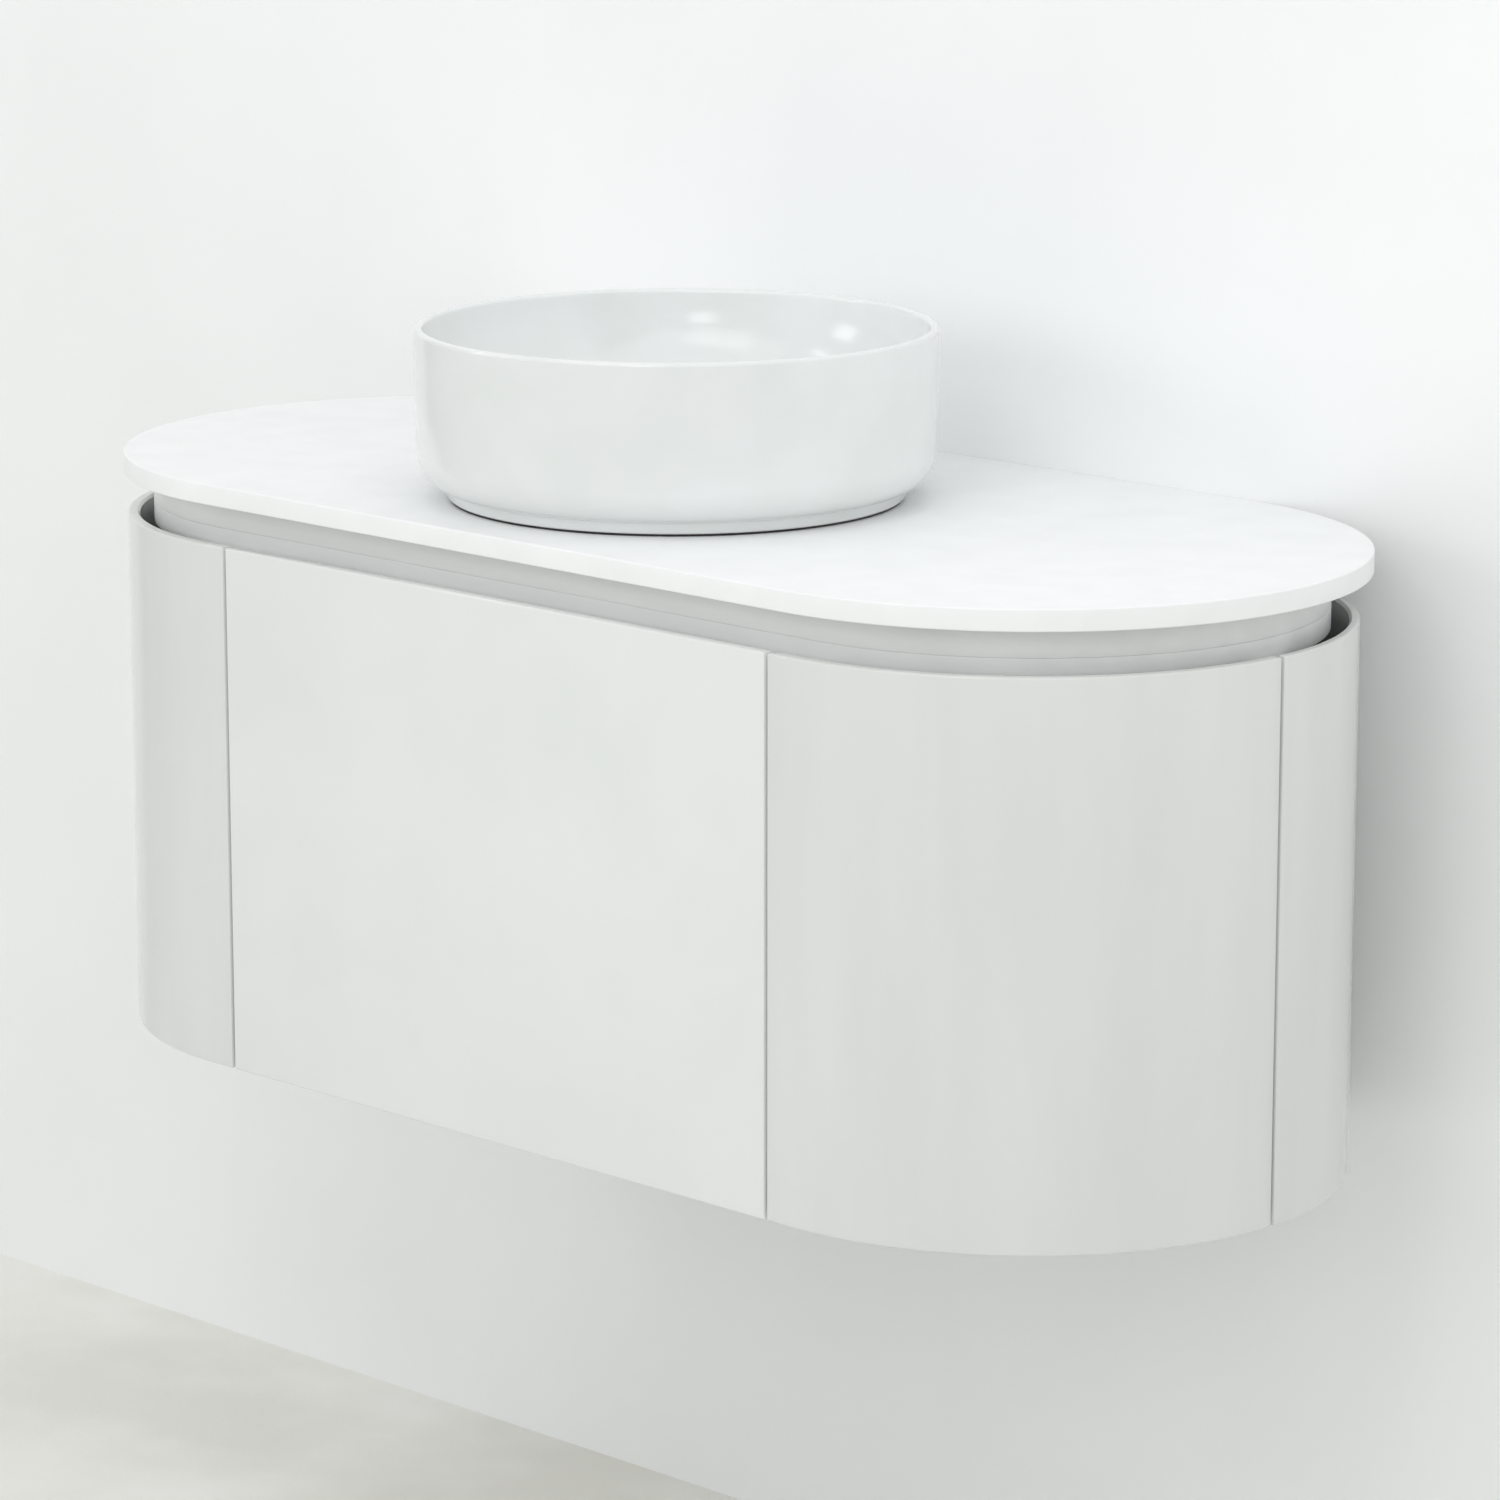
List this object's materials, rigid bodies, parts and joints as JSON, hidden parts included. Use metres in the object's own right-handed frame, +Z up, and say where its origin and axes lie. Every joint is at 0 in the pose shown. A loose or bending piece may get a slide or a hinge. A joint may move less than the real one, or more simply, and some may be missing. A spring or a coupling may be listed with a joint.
{
  "type": "vanity with vessel basin",
  "caption": "Wall-hung slot-shaped vanity with a round vessel basin, a drawer cut out around the trap, and curved end doors.",
  "frame": {"origin": "on the wall plane at mid-length, on the back face of the hanging rail, 110 mm below the worktop's upper surface", "axes": "+X along the wall to the right as seen from the room, +Y into the wall, +Z up"},
  "size_m": [1.1998, 0.57, 0.6325],
  "materials": {
    "worktop": "matt white solid surface",
    "ceramic": "gloss white glaze",
    "lacquer_front": "high-gloss white lacquer on MDF",
    "lacquer_board": "satin white lacquered board",
    "drawer_board": "light melamine-faced board",
    "zinc_steel": "zinc-plated",
    "nickel_steel": "nickel-plated",
    "chrome": "polished",
    "brass": "machined",
    "white_plastic": "moulded polypropylene",
    "rubber": "moulded",
    "clear_buffer": "soft translucent bumper"
  },
  "bodies": {
    "cabinet": {"basin": "ceramic", "basin_seal": "rubber", "bottom_board": "lacquer_board", "carcass_screws": "zinc_steel", "dip_tube": "white_plastic", "door_buffers": "clear_buffer", "hanger_screws": "zinc_steel", "hinge_screws": "zinc_steel", "inlet_nut": "white_plastic", "left_back_stile": "lacquer_board", "left_end_stile": "lacquer_board", "left_hanger_bracket": "zinc_steel", "left_hinge_arms": "nickel_steel", "left_hinge_plates": "nickel_steel", "left_partition": "lacquer_board", "left_rear_panel": "lacquer_front", "left_runner_cabinet_member": "zinc_steel", "left_shelf": "lacquer_board", "lower_back_rail": "lacquer_board", "neck_board": "lacquer_board", "outlet_nut": "white_plastic", "right_back_stile": "lacquer_board", "right_end_stile": "lacquer_board", "right_hanger_bracket": "zinc_steel", "right_hinge_arms": "nickel_steel", "right_hinge_plates": "nickel_steel", "right_partition": "lacquer_board", "right_rear_panel": "lacquer_front", "right_runner_cabinet_member": "zinc_steel", "right_shelf": "lacquer_board", "shelf_pins": "zinc_steel", "top_board": "lacquer_board", "trap_body": "white_plastic", "trap_cup": "white_plastic", "upper_back_rail": "lacquer_board", "wall_rail": "zinc_steel", "wall_rosette": "chrome", "waste_body": "chrome", "waste_gasket": "rubber", "waste_nut": "brass", "waste_pipe": "white_plastic", "worktop": "worktop"},
    "drawer": {"drawer_front": "lacquer_front", "left_drawer_side": "drawer_board", "right_drawer_side": "drawer_board", "drawer_floor": "drawer_board", "pipe_surround": "drawer_board", "drawer_left_back": "drawer_board", "drawer_right_back": "drawer_board", "left_runner_drawer_member": "zinc_steel", "right_runner_drawer_member": "zinc_steel"},
    "runner_middles": {"left_runner_middle_member": "zinc_steel", "right_runner_middle_member": "zinc_steel"},
    "left_door": {"left_door_panel": "lacquer_front", "left_hinge_batten": "lacquer_board", "left_hinge_cups": "nickel_steel"},
    "right_door": {"right_door_panel": "lacquer_front", "right_hinge_batten": "lacquer_board", "right_hinge_cups": "nickel_steel"},
    "plug": {"waste_plug": "chrome"}
  },
  "joints": [
    {"name": "drawer_slide", "type": "slide", "parent": "cabinet", "child": "drawer", "axis": [0, -1, 0], "range_m": [0, 0.45]},
    {"name": "runner_middle_slide", "type": "slide", "parent": "cabinet", "child": "runner_middles", "axis": [0, -1, 0], "range_m": [0, 0.225]},
    {"name": "left_door_hinge", "type": "hinge", "parent": "cabinet", "child": "left_door", "pos_m": [-0.309, -0.534, 0], "axis": [0, 0, 1], "range_deg": [0, 90]},
    {"name": "right_door_hinge", "type": "hinge", "parent": "cabinet", "child": "right_door", "pos_m": [0.309, -0.534, 0], "axis": [0, 0, -1], "range_deg": [0, 90]},
    {"name": "plug_lift", "type": "slide", "parent": "cabinet", "child": "plug", "axis": [0, 0, 1], "range_m": [0, 0.008]}
  ],
  "couplings": [
    {"joint": "runner_middle_slide", "follows": "drawer_slide", "ratio": 0.5}
  ]
}
